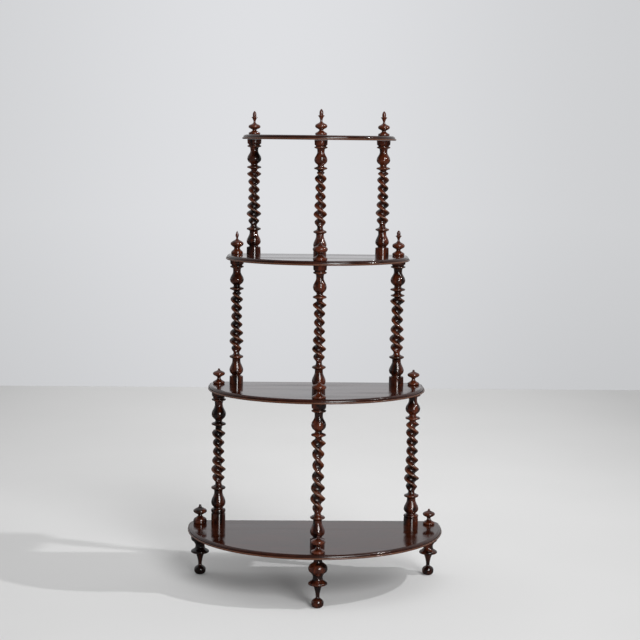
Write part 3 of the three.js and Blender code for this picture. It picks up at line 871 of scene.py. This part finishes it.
def studio_world(settings):
    """Camera and mirror rays see a pale backdrop that falls off sideways and towards the floor.
    Light that scatters comes from the ceiling and from low on the walls all round. All of it follows
    the direction of a ray, whose X runs to the right, Y to the rear wall and Z, its rise, upwards."""
    world = bpy.data.worlds.new("studio")
    world.use_nodes = True
    tree = world.node_tree
    tree.nodes.clear()
    coords = add_node(tree, "ShaderNodeTexCoord")
    axes = add_node(tree, "ShaderNodeSeparateXYZ", {"Vector": coords.outputs["Generated"]})
    to_right, to_rear, rise = (axes.outputs[axis] for axis in "XYZ")
    # The backdrop, as the camera sees it.
    sideways = add_node(tree, "ShaderNodeMath", {"Value": to_right}, operation="ABSOLUTE")
    fall = add_node(
        tree, "ShaderNodeMapRange",
        {
            "Value": sideways.outputs["Value"], "From Min": 0.0, "From Max": 0.24, "To Min": 0.0,
            "To Max": 1.0,
        },
        interpolation_type="SMOOTHSTEP",
    )
    backdrop = add_node(
        tree, "ShaderNodeMix",
        {"Factor": fall.outputs["Result"], "A_Color": BACKDROP_MIDDLE, "B_Color": BACKDROP_SIDES},
        data_type="RGBA",
    )
    low = add_node(
        tree, "ShaderNodeMapRange",
        {"Value": rise, "From Min": -0.16, "From Max": -0.05, "To Min": 0.90, "To Max": 1.0},
    )
    # The room, as the polish mirrors it: dark towards the front and by the floor, palest low on the
    # rear wall and a little darker above.
    rear = add_node(
        tree, "ShaderNodeMapRange",
        {"Value": to_rear, "From Min": -0.4, "From Max": 0.5, "To Min": 0.12, "To Max": 1.0},
    )
    foot = add_node(
        tree, "ShaderNodeMapRange",
        {
            "Value": rise, "From Min": -0.02, "From Max": 0.06, "To Min": 0.1,
            "To Max": rear.outputs["Result"],
        },
    )
    height = add_node(
        tree, "ShaderNodeMapRange",
        {"Value": rise, "From Min": 0.14, "From Max": 0.26, "To Min": 1.06, "To Max": 0.74},
    )
    image = add_node(
        tree, "ShaderNodeMath",
        {"Value": foot.outputs["Result"], "Value_001": height.outputs["Result"]},
        operation="MULTIPLY",
    )
    path = add_node(tree, "ShaderNodeLightPath")
    seen = add_node(
        tree, "ShaderNodeBackground",
        {"Color": backdrop.outputs[COLOUR], "Strength": low.outputs["Result"]},
    )
    mirrored = add_node(
        tree, "ShaderNodeBackground",
        {"Color": backdrop.outputs[COLOUR], "Strength": image.outputs["Value"]},
    )
    # What lights the stage: walls up to about 25 degrees, brighter at the rear, and a ceiling above
    # about 40.
    walls = add_node(
        tree, "ShaderNodeMapRange",
        {
            "Value": to_rear, "From Min": -0.5, "From Max": 0.5,
            "To Min": FRONT_WALL_SHARE * settings.walls, "To Max": settings.walls,
        },
    )
    low_walls = add_node(
        tree, "ShaderNodeMapRange",
        {
            "Value": rise, "From Min": 0.35, "From Max": 0.50, "To Min": walls.outputs["Result"],
            "To Max": GAP_LIGHT,
        },
    )
    ceiling = add_node(
        tree, "ShaderNodeMapRange",
        {
            "Value": rise, "From Min": 0.60, "From Max": 0.75, "To Min": 0.0,
            "To Max": settings.overhead - GAP_LIGHT,
        },
    )
    around = add_node(
        tree, "ShaderNodeMath",
        {"Value": low_walls.outputs["Result"], "Value_001": ceiling.outputs["Result"]},
        operation="ADD",
    )
    even = add_node(
        tree, "ShaderNodeBackground", {"Color": WHITE, "Strength": around.outputs["Value"]}
    )
    glossy = add_node(
        tree, "ShaderNodeMixShader",
        {
            "Fac": path.outputs["Is Glossy Ray"], "Shader": even.outputs["Background"],
            "Shader_001": mirrored.outputs["Background"],
        },
    )
    camera = add_node(
        tree, "ShaderNodeMixShader",
        {
            "Fac": path.outputs["Is Camera Ray"], "Shader": glossy.outputs["Shader"],
            "Shader_001": seen.outputs["Background"],
        },
    )
    add_node(tree, "ShaderNodeOutputWorld", {"Surface": camera.outputs["Shader"]})
    bpy.context.scene.world = world


def floor_material(settings):
    """Matt painted studio floor. It is palest just behind the object and darkens a little to the front,
    the back and the sides, which is painted falloff of the lamps' light, and it has the faintest
    cloudiness half a metre across."""
    material = empty_material("matt_studio_floor")
    tree = material.node_tree
    place = add_node(tree, "ShaderNodeTexCoord").outputs["Object"]
    cloud = add_node(
        tree, "ShaderNodeTexNoise", {"Vector": place, "Scale": 2.0, "Detail": 2.0, "Roughness": 0.4}
    )
    level = add_node(
        tree, "ShaderNodeMapRange",
        {
            "Value": cloud.outputs["Fac"], "From Min": 0.3, "From Max": 0.7, "To Min": 0.975,
            "To Max": 0.995,
        },
    )
    # Metres across, and metres from the front to the back, with the object at zero.
    axes = add_node(tree, "ShaderNodeSeparateXYZ", {"Vector": place})
    across, back = axes.outputs["X"], axes.outputs["Y"]
    # Painted falloff of the lamps' light: darker to the front, the back and the sides.
    near = add_node(
        tree, "ShaderNodeMapRange",
        {"Value": back, "From Min": -0.6, "From Max": 1.0, "To Min": 0.91, "To Max": 1.0},
    )
    depth = add_node(
        tree, "ShaderNodeMapRange",
        {
            "Value": back, "From Min": 1.5, "From Max": 3.5, "To Min": near.outputs["Result"],
            "To Max": 0.94,
        },
    )
    square = add_node(
        tree, "ShaderNodeMath", {"Value": across, "Value_001": across}, operation="MULTIPLY"
    )
    sides = add_node(
        tree, "ShaderNodeMapRange",
        {
            "Value": square.outputs["Value"], "From Min": 0.0, "From Max": 2.5, "To Min": 1.0,
            "To Max": 0.75,
        },
    )
    spread = add_node(
        tree, "ShaderNodeMath",
        {"Value": sides.outputs["Result"], "Value_001": depth.outputs["Result"]},
        operation="MULTIPLY",
    )
    shade = add_node(
        tree, "ShaderNodeMath",
        {"Value": level.outputs["Result"], "Value_001": spread.outputs["Value"]},
        operation="MULTIPLY",
    )
    tint = add_node(
        tree, "ShaderNodeMix",
        {"Factor": shade.outputs["Value"], "A_Color": BLACK, "B_Color": settings.floor_colour},
        data_type="RGBA",
    )
    path = add_node(tree, "ShaderNodeLightPath")
    seen = add_node(tree, "ShaderNodeBsdfDiffuse", {"Color": tint.outputs[COLOUR]})
    mirrored = add_node(tree, "ShaderNodeBsdfDiffuse", {"Color": MIRRORED_FLOOR})
    shader = add_node(
        tree, "ShaderNodeMixShader",
        {
            "Fac": path.outputs["Is Glossy Ray"], "Shader": seen.outputs["BSDF"],
            "Shader_001": mirrored.outputs["BSDF"],
        },
    )
    add_node(tree, "ShaderNodeOutputMaterial", {"Surface": shader.outputs["Shader"]})
    return material


class ETAGERE_OT_stage(Operator):
    """Builds the floor, lamps, backdrop light and camera"""

    bl_idname = "etagere.stage"
    bl_label = "Stage"

    def execute(self, context):
        scene = context.scene
        settings = scene.etagere_stage
        half = settings.floor_size / 2
        corners = [(-half, -half, 0), (half, -half, 0), (half, half, 0), (-half, half, 0)]
        mesh = bpy.data.meshes.new("studio_floor")
        mesh.from_pydata(corners, [], [(0, 1, 2, 3)])
        mesh.materials.append(floor_material(settings))
        floor = add_object("studio_floor", mesh)
        far_lamp("key_lamp", azimuth=25, elevation=34, spread=25, share=settings.key_share)
        near_lamp("side_lamp", place=(1.70, -0.38, 2.11), radius=0.03, share=settings.side_share)
        softbox(
            "front_lamp", azimuth=17, elevation=9, distance=6.0, side=1.33, power=settings.front_power
        )
        studio_world(settings)
        lens = bpy.data.cameras.new("camera")
        lens.lens = CAMERA_LENS
        lens.sensor_width = CAMERA_SENSOR
        camera = add_object("camera", lens)
        turn = (
            Matrix.Rotation(CAMERA_PAN, 4, "Z")
            @ Matrix.Rotation(QUARTER_TURN + CAMERA_TILT, 4, "X")
            @ Matrix.Rotation(CAMERA_ROLL, 4, "Z")
        )
        camera.matrix_world = Matrix.Translation(CAMERA_PLACE) @ turn
        scene.camera = camera
        scene.view_settings.view_transform = "Standard"
        return {"FINISHED"}


class ETAGERE_PT_sidebar(Panel):
    """Lists what builds the etagere"""

    bl_label = "Etagere"
    bl_idname = "ETAGERE_PT_sidebar"
    bl_space_type = "VIEW_3D"
    bl_region_type = "UI"
    bl_category = "Etagere"

    def draw(self, context):
        for group, settings_class in SETTINGS.items():
            box = self.layout.box()
            for name in settings_class.__annotations__:
                box.prop(getattr(context.scene, group), name)
        for operator in OPERATORS:
            self.layout.operator(operator.bl_idname)


SETTINGS = {
    "etagere_boards": EtagereBoardSettings,
    "etagere_turning": EtagereTurningSettings,
    "etagere_polish": EtagerePolishSettings,
    "etagere_stage": EtagereStageSettings,
}
OPERATORS = (
    ETAGERE_OT_stage,
    ETAGERE_OT_boards,
    ETAGERE_OT_columns,
    ETAGERE_OT_finials,
    ETAGERE_OT_feet,
)


def register():
    for group, settings_class in SETTINGS.items():
        bpy.utils.register_class(settings_class)
        setattr(bpy.types.Scene, group, PointerProperty(type=settings_class))
    for operator in OPERATORS:
        bpy.utils.register_class(operator)
    bpy.utils.register_class(ETAGERE_PT_sidebar)


def unregister():
    bpy.utils.unregister_class(ETAGERE_PT_sidebar)
    for operator in reversed(OPERATORS):
        bpy.utils.unregister_class(operator)
    for group, settings_class in reversed(SETTINGS.items()):
        delattr(bpy.types.Scene, group)
        bpy.utils.unregister_class(settings_class)


def main():
    register()
    bpy.ops.etagere.stage()
    bpy.ops.etagere.boards()
    bpy.ops.etagere.columns()
    bpy.ops.etagere.finials()
    bpy.ops.etagere.feet()


if __name__ == "__main__":
    main()
